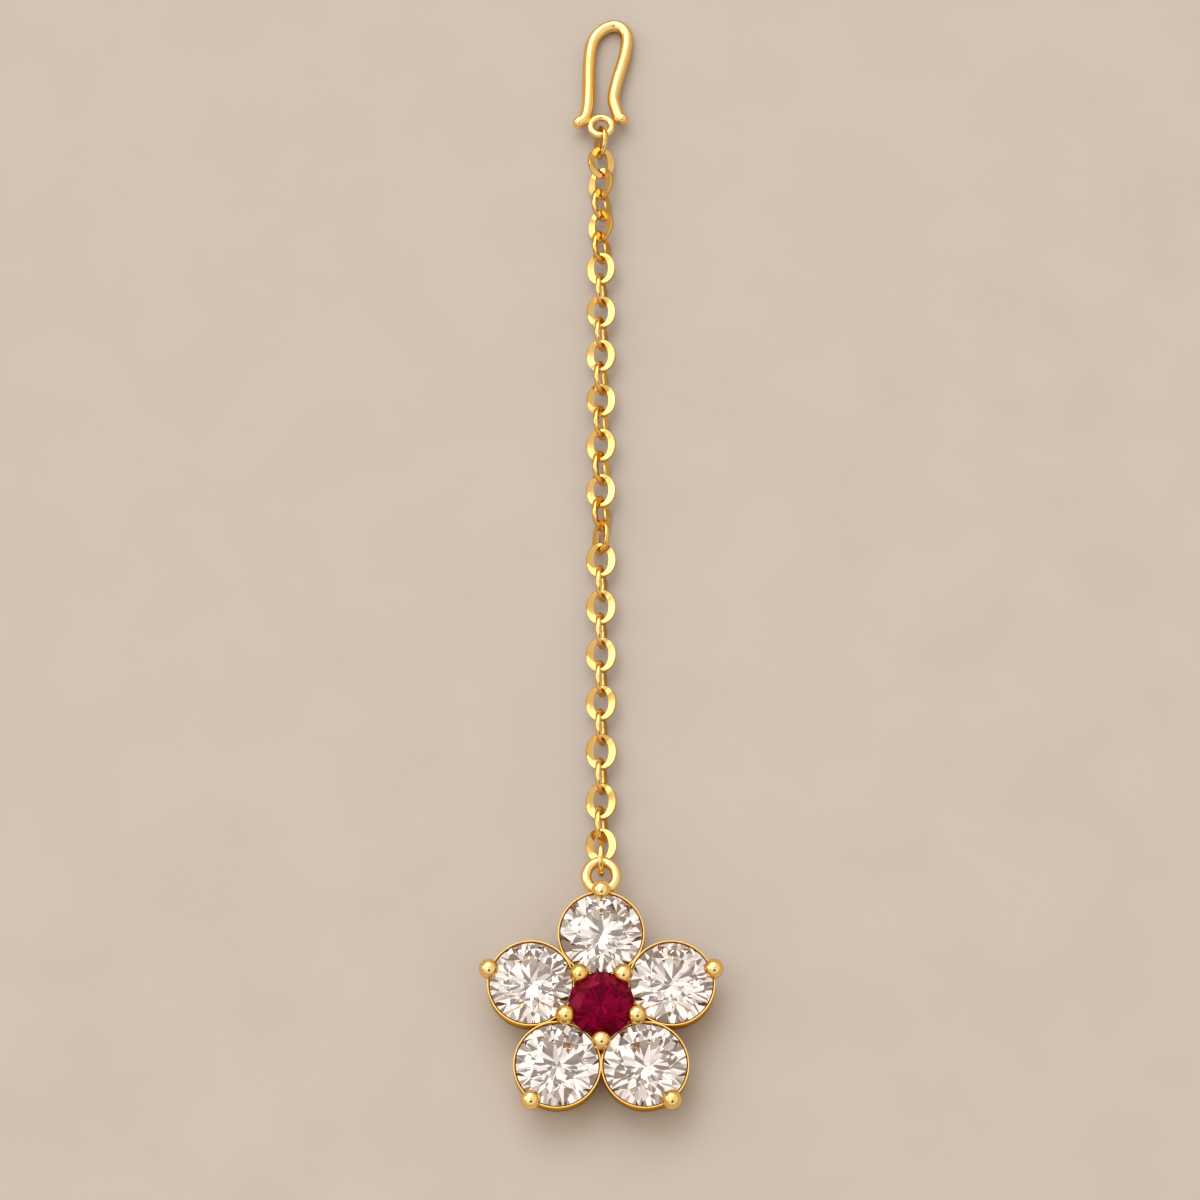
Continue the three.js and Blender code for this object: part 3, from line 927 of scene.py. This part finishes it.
class TIKKA_OT_chain(bpy.types.Operator):
    """Builds the cable chain, link by link"""

    bl_idname = "tikka.chain"
    bl_label = "Chain"

    def execute(self, context):
        # The links' gold is darker than the beads' gold by painted shade
        gold = polished_gold("shaded_link_gold", LINK_FINISH_AND_SHADE)
        for i in range(LINKS):
            node = f"link_{i + 1:02d}"
            name = f"chain_link_{i + 1:02d}"
            roll = Matrix.Rotation(math.radians(LINK_ROLLS[i]), 4, "Y")
            slope = Matrix.Rotation(-math.radians(LINK_SLOPES.get(i + 1, 0.0)), 4, "X")
            place = Matrix.Translation(middle_of(node)) @ slope @ roll
            cut_turn = math.radians(CORNER_DRIFT * math.sin(CORNER_BEAT * i))
            flat = abs(LINK_ROLLS[i]) < 30
            add_piece(name, link_mesh(name, place, cut_turn, flat), gold, [node])
        return {"FINISHED"}


# Hook


def smooth_line(points, per_span=14):
    """A smooth line through the points, as (place, direction) pairs."""
    ends = [points[0] * 2 - points[1]] + list(points) + [points[-1] * 2 - points[-2]]
    line = []
    for i in range(1, len(ends) - 2):
        a, b, c, d = ends[i - 1 : i + 3]
        last = i == len(ends) - 3
        for k in range(per_span + (1 if last else 0)):
            t = k / per_span
            bend = 2 * a - 5 * b + 4 * c - d
            twist = 3 * b - a - 3 * c + d
            spot = 0.5 * (2 * b + (c - a) * t + bend * t**2 + twist * t**3)
            way = 0.5 * ((c - a) + 2 * bend * t + 3 * twist * t**2)
            line.append((spot, way.normalized()))
    return line


def wire_mesh(name, points, wire, sides=32):
    """A round wire along a smooth line in the XY plane, with round ends."""
    line = smooth_line(points)
    caps = 8
    first, first_way = line[0]
    last, last_way = line[-1]
    steps = []
    for k in range(caps, 0, -1):
        a = math.pi / 2 * k / (caps + CAP_SHORTFALL)
        steps.append((first - first_way * (wire / 2 * math.sin(a)), first_way, wire * math.cos(a)))
    steps += [(spot, way, wire) for spot, way in line]
    for k in range(1, caps + 1):
        a = math.pi / 2 * k / (caps + CAP_SHORTFALL)
        steps.append((last + last_way * (wire / 2 * math.sin(a)), last_way, wire * math.cos(a)))
    swept = []
    for spot, way, width in steps:
        outward = Vector((way.y, -way.x, 0))
        swept.append((spot, outward, width, width))
    return planar_sweep(name, swept, round_section(sides), closed=False, sharp_angle=60.0)


class TIKKA_OT_hook(bpy.types.Operator):
    """Bends the hook and solders the eye to its shank"""

    bl_idname = "tikka.hook"
    bl_label = "Hook"

    def execute(self, context):
        gold = polished_gold("hook_gold", HOOK_FINISH)
        hook = settings().hook
        chain = settings().chain
        reach = hook.eye / 2 + hook.wire / 2
        solder = Vector((math.cos(SOLDER_TURN), math.sin(SOLDER_TURN), 0)) * (reach - EYE_BITE)
        spring = Vector((math.cos(SPRING_TURN), math.sin(SPRING_TURN), 0)) * (reach + hook.gap)
        points = [solder + Vector((-hook.flare, -hook.drop, 0)), solder]
        points += [Vector((across * hook.lean, along * hook.reach, 0)) for across, along in HOOK_LINE]
        points += [spring, spring + Vector((hook.flare / 2, -hook.drop / 2, 0))]
        wire = wire_mesh("hook_wire", points, hook.wire)
        eye = ring_mesh("hook_eye", hook.eye, hook.eye_wire, Vector((0, 0, 0)))
        mesh = joined("hook_and_eye", [wire, eye])
        first = middle_of("link_01")
        eye_inner = hook.eye / 2 - hook.eye_wire
        link_inner = chain.link_length / 2 - chain.end_wire
        centre = Vector((first.x, first.y + link_inner + eye_inner - chain.play, chain.link_width / 2))
        fall = math.asin((chain.link_width / 2 - hook.wire / 2) / hook.reach)
        mesh.transform(Matrix.Translation(centre) @ Matrix.Rotation(-fall, 4, "X"))
        add_piece("hook_and_eye", mesh, gold, ["hook"])
        return {"FINISHED"}


# Stage


# The light tent's soft panels: the way towards each, its inner and outer angle from that way in degrees,
# and its colour. The last one is the dark opening in front
TENT_PANELS = (
    ((-0.2, 0.6, 0.77), 20.0, 31.0, (2.8, 2.8, 2.8)),
    ((-0.85, 0.2, 0.48), 11.0, 18.0, (2.5, 2.45, 2.3)),
    ((-0.4, -0.12, 0.9), 10.0, 19.0, (2.3, 2.25, 2.15)),
    ((0.1, -0.54, 0.83), 9.0, 17.0, (0.05, 0.035, 0.02)),
)

# What shows behind the surface, where a view is low enough
BACKDROP = (0.66, 0.585, 0.5)

SURFACE_REACH = 1.5  # from the surface's middle to its sides, in metres

# How fine the broken-up sky is, and from where to where its noise goes over from dim to bright
SKY_PATCHES = (4.5, 0.44, 0.59)

# The light by height over the horizon, for the tent, and for the dim and the bright patches that the
# stones break up
TENT_LIGHT = (
    (0.0, (0.45, 0.3, 0.15, 1.0)),
    (0.18, (0.6, 0.46, 0.29, 1.0)),
    (0.45, (0.92, 0.83, 0.69, 1.0)),
    (1.0, (0.96, 0.9, 0.81, 1.0)),
)
DIM_LIGHT = (
    (0.0, (0.2, 0.11, 0.05, 1.0)),
    (0.5, (0.3, 0.23, 0.17, 1.0)),
    (1.0, (0.26, 0.22, 0.19, 1.0)),
)
BRIGHT_LIGHT = (
    (0.0, (0.7, 0.52, 0.34, 1.0)),
    (0.35, (1.05, 0.95, 0.86, 1.0)),
    (0.7, (1.3, 1.24, 1.2, 1.0)),
)


class Sky:
    """The world's nodes, added and joined by short calls."""

    def __init__(self, name):
        world = bpy.data.worlds.new(name)
        bpy.context.scene.world = world
        world.use_nodes = True
        self.nodes = world.node_tree.nodes
        self.links = world.node_tree.links
        self.nodes.clear()
        self.output = self.nodes.new("ShaderNodeOutputWorld")
        self.light = self.nodes.new("ShaderNodeBackground")
        self.links.new(self.light.outputs["Background"], self.output.inputs["Surface"])
        self.way = self.nodes.new("ShaderNodeTexCoord").outputs["Generated"]
        split = self.nodes.new("ShaderNodeSeparateXYZ")
        self.links.new(self.way, split.inputs[0])
        self.height = split.outputs["Z"]

    def ramp(self, stops):
        """A colour for each height over the horizon."""
        node = self.nodes.new("ShaderNodeValToRGB")
        ramp = node.color_ramp
        ramp.elements[0].position, ramp.elements[0].color = stops[0]
        ramp.elements[1].position, ramp.elements[1].color = stops[-1]
        for position, value in stops[1:-1]:
            ramp.elements.new(position).color = value
        self.links.new(self.height, node.inputs["Fac"])
        return node.outputs["Color"]

    def soft_step(self, value, low, high):
        """A share that rises softly from 0 to 1 between two values."""
        node = self.nodes.new("ShaderNodeMapRange")
        node.interpolation_type = "SMOOTHSTEP"
        node.inputs["From Min"].default_value = low
        node.inputs["From Max"].default_value = high
        self.links.new(value, node.inputs["Value"])
        return node.outputs["Result"]

    def patches(self, scale, low, high):
        """Soft patches, as a share from 0 to 1."""
        noise = self.nodes.new("ShaderNodeTexNoise")
        noise.inputs["Scale"].default_value = scale
        noise.inputs["Detail"].default_value = 1.0
        self.links.new(self.way, noise.inputs["Vector"])
        return self.soft_step(noise.outputs["Fac"], low, high)

    def mixed(self, factor, light, other):
        node = self.nodes.new("ShaderNodeMix")
        node.data_type = "VECTOR"
        self.links.new(factor, node.inputs["Factor"])
        self.links.new(light, node.inputs["A"])
        if isinstance(other, tuple):
            node.inputs["B"].default_value = other
        else:
            self.links.new(other, node.inputs["B"])
        return node.outputs["Result"]

    def panel(self, light, toward, inner, outer, tint):
        dot = self.nodes.new("ShaderNodeVectorMath")
        dot.operation = "DOT_PRODUCT"
        dot.inputs[1].default_value = Vector(toward).normalized()
        self.links.new(self.way, dot.inputs[0])
        low, high = [math.cos(math.radians(a)) for a in (outer, inner)]
        return self.mixed(self.soft_step(dot.outputs["Value"], low, high), light, tint)


def studio_sky():
    """A soft light tent with brighter panels. Through the stones it shows broken up into patches, and
    behind the surface it is plain and pale."""
    sky = Sky("light_tent")
    tent = sky.ramp(TENT_LIGHT)
    for toward, inner, outer, tint in TENT_PANELS:
        tent = sky.panel(tent, toward, inner, outer, tint)
    broken = sky.mixed(sky.patches(*SKY_PATCHES), sky.ramp(DIM_LIGHT), sky.ramp(BRIGHT_LIGHT))
    path = sky.nodes.new("ShaderNodeLightPath").outputs
    light = sky.mixed(path["Is Transmission Ray"], tent, broken)
    sky.links.new(sky.mixed(path["Is Camera Ray"], light, BACKDROP), sky.light.inputs["Color"])
    sky.light.inputs["Strength"].default_value = 1.0


def softbox(name, place, size, power, tint):
    """A rectangular softbox that points at the jewel. The metal doesn't mirror it."""
    light = bpy.data.lights.new(name, "AREA")
    light.shape = "RECTANGLE"
    light.size, light.size_y = size
    light.energy = power
    light.color = tint
    lamp = bpy.data.objects.new(name, light)
    lamp.location = place
    lamp.rotation_euler = (-Vector(place)).to_track_quat("-Z", "Y").to_euler()
    lamp.visible_glossy = False
    bpy.context.scene.collection.objects.link(lamp)


class TIKKA_OT_stage(bpy.types.Operator):
    """Sets the surface, the soft studio light and the camera"""

    bl_idname = "tikka.stage"
    bl_label = "Stage"

    def execute(self, context):
        work = bmesh.new()
        bmesh.ops.create_grid(work, x_segments=24, y_segments=24, size=SURFACE_REACH)
        mesh = bpy.data.meshes.new("surface")
        work.to_mesh(mesh)
        work.free()
        floor = bpy.data.objects.new("surface", mesh)
        floor.data.materials.append(pale_surface())
        context.scene.collection.objects.link(floor)

        studio_sky()
        softbox(
            "key_softbox", place=(-0.2, 0.26, 0.5), size=(0.4, 0.4), power=0.35, tint=(1.0, 0.985, 0.96)
        )

        view = settings().view
        camera = bpy.data.objects.new("camera", bpy.data.cameras.new("camera"))
        camera.data.sensor_width = 36.0
        camera.data.lens = view.lens
        camera.data.clip_start = 0.01
        camera.data.clip_end = 20.0
        target = Vector((-view.shift, -view.aim, view.height))
        back = Vector((0.0, -math.sin(view.tilt), math.cos(view.tilt)))
        camera.location = target + back * view.distance
        camera.rotation_euler = (view.tilt, 0.0, 0.0)
        context.scene.collection.objects.link(camera)
        context.scene.camera = camera

        context.scene.view_settings.view_transform = "Standard"
        cycles = context.scene.cycles
        cycles.max_bounces = 24
        cycles.glossy_bounces = 16
        cycles.transmission_bounces = 20
        return {"FINISHED"}


class TIKKA_PT_panel(bpy.types.Panel):
    """The jewel's pieces and sizes"""

    bl_label = "Maang Tikka"
    bl_idname = "TIKKA_PT_panel"
    bl_space_type = "VIEW_3D"
    bl_region_type = "UI"
    bl_category = "Tikka"

    def draw(self, context):
        layout = self.layout
        for operator in OPERATORS:
            layout.operator(operator.bl_idname)
        for name in ("stones", "setting", "chain", "hook", "finish", "view"):
            group = getattr(context.scene.tikka, name)
            box = layout.box()
            box.label(text=name.capitalize())
            for prop in group.bl_rna.properties:
                if prop.identifier not in {"rna_type", "name"}:
                    box.prop(group, prop.identifier)


OPERATORS = (
    TIKKA_OT_stage,
    TIKKA_OT_hook,
    TIKKA_OT_chain,
    TIKKA_OT_setting,
    TIKKA_OT_diamonds,
    TIKKA_OT_ruby,
)
CLASSES = (
    StoneSettings,
    SettingSettings,
    ChainSettings,
    HookSettings,
    FinishSettings,
    ViewSettings,
    TikkaSettings,
    *OPERATORS,
    TIKKA_PT_panel,
)


def register():
    for item in CLASSES:
        bpy.utils.register_class(item)
    bpy.types.Scene.tikka = PointerProperty(type=TikkaSettings)


def unregister():
    del bpy.types.Scene.tikka
    for item in reversed(CLASSES):
        bpy.utils.unregister_class(item)


def main():
    register()
    bpy.ops.tikka.stage()
    bpy.ops.tikka.hook()
    bpy.ops.tikka.chain()
    bpy.ops.tikka.setting()
    bpy.ops.tikka.diamonds()
    bpy.ops.tikka.ruby()
    bpy.context.view_layer.update()


if __name__ == "__main__":
    main()
